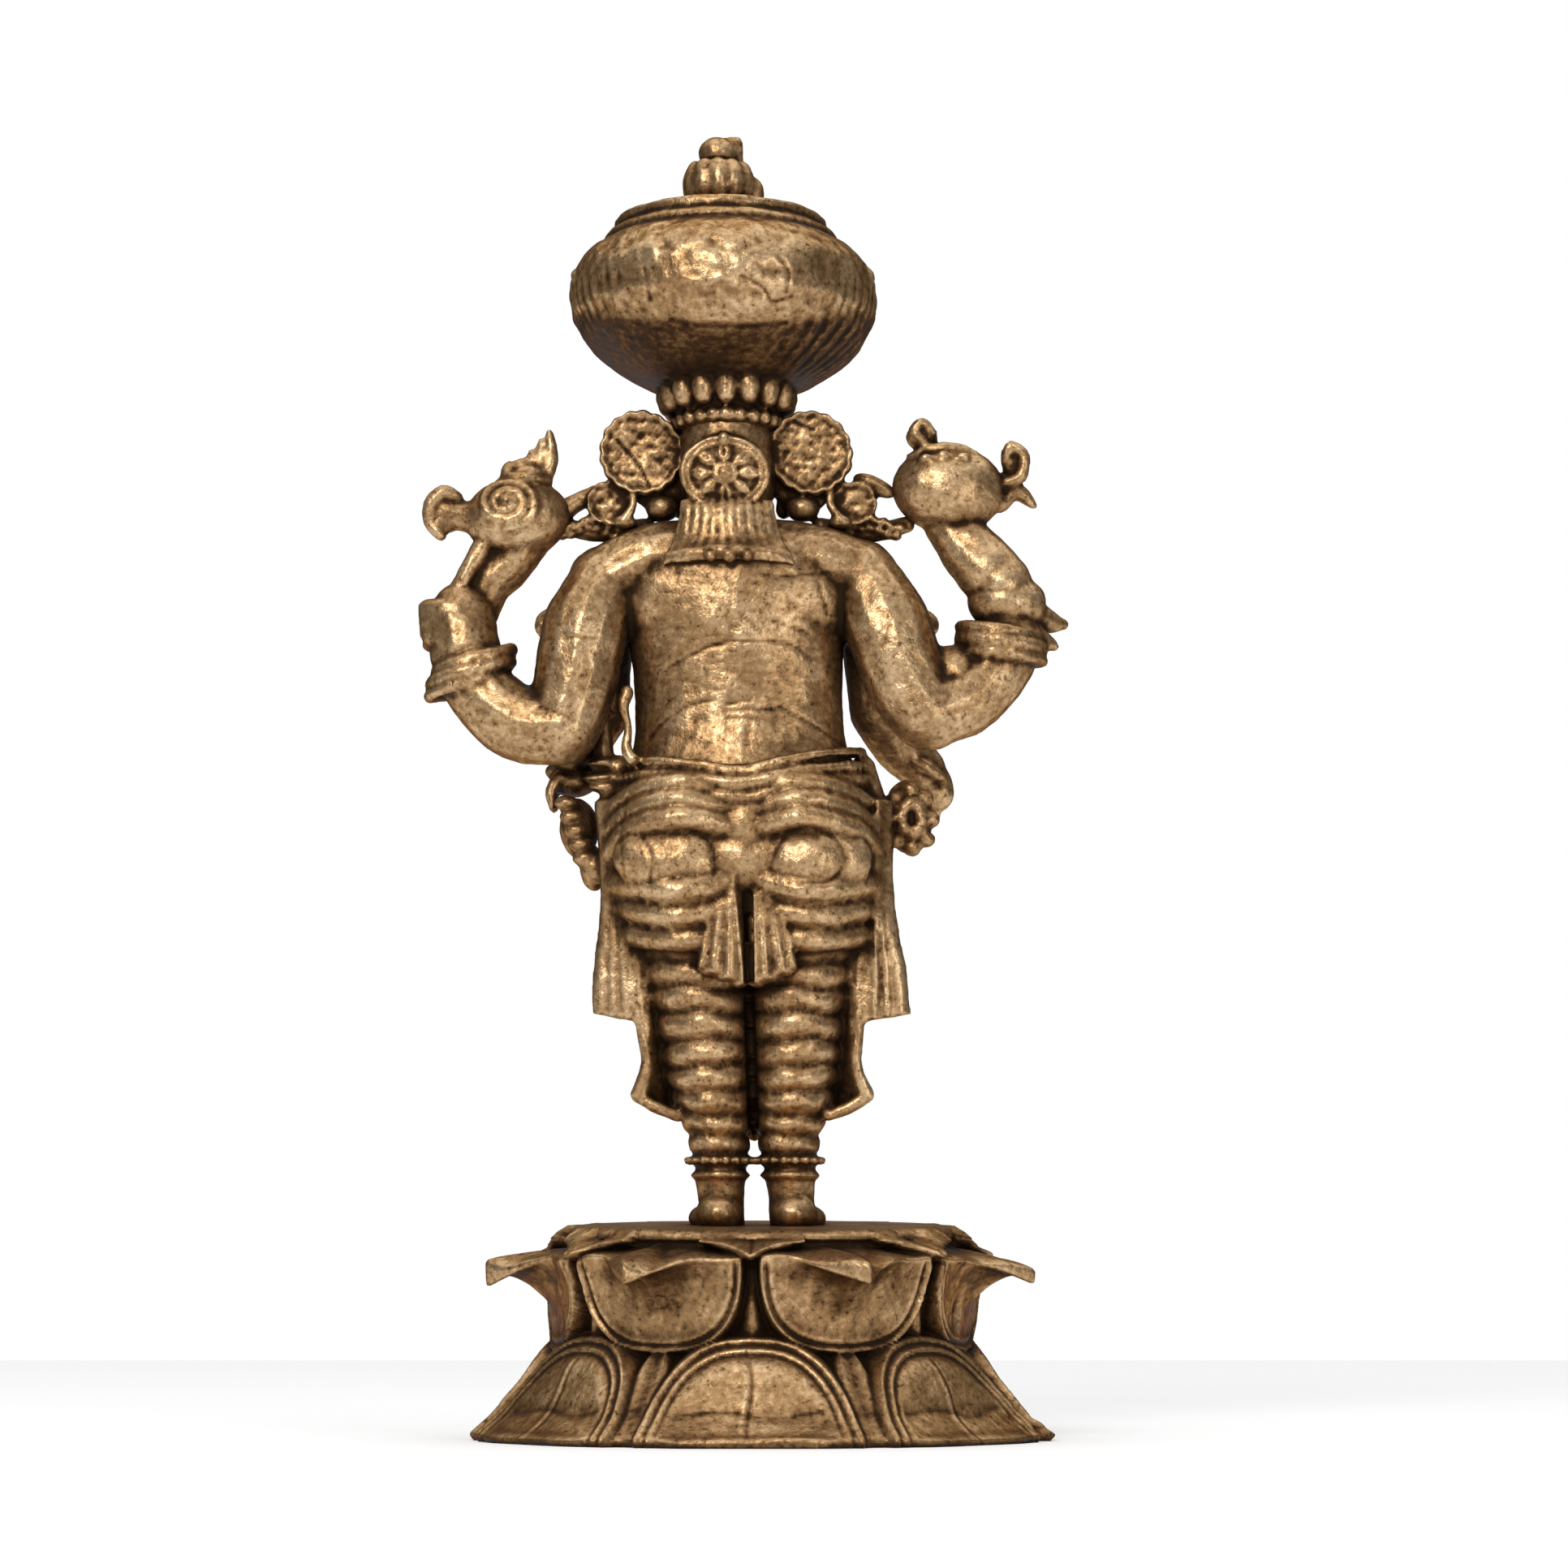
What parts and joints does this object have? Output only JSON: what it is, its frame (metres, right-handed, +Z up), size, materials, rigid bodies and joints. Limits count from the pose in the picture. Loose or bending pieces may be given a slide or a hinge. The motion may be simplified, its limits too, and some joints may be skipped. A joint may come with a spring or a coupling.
{
  "type": "statue",
  "caption": "Standing deity statue with a wide domed crown, raised rear hands holding a conch and a discus, wound skirt cloth and a round lotus base, cast as a single solid.",
  "frame": {"origin": "on the ground at the middle of the round base's flat underside", "axes": "+Z up through the base; the figure faces -Y; its left side, with the conch, is on +X"},
  "size_m": [0.0745, 0.0647, 0.1501],
  "materials": {
    "antique_gold_paint": "semi-gloss antique gold metallic paint over cast resin, rubbed back on the high places and left dark brown in the hollows"
  },
  "bodies": {
    "root": {"statue": "antique_gold_paint"}
  },
  "joints": []
}
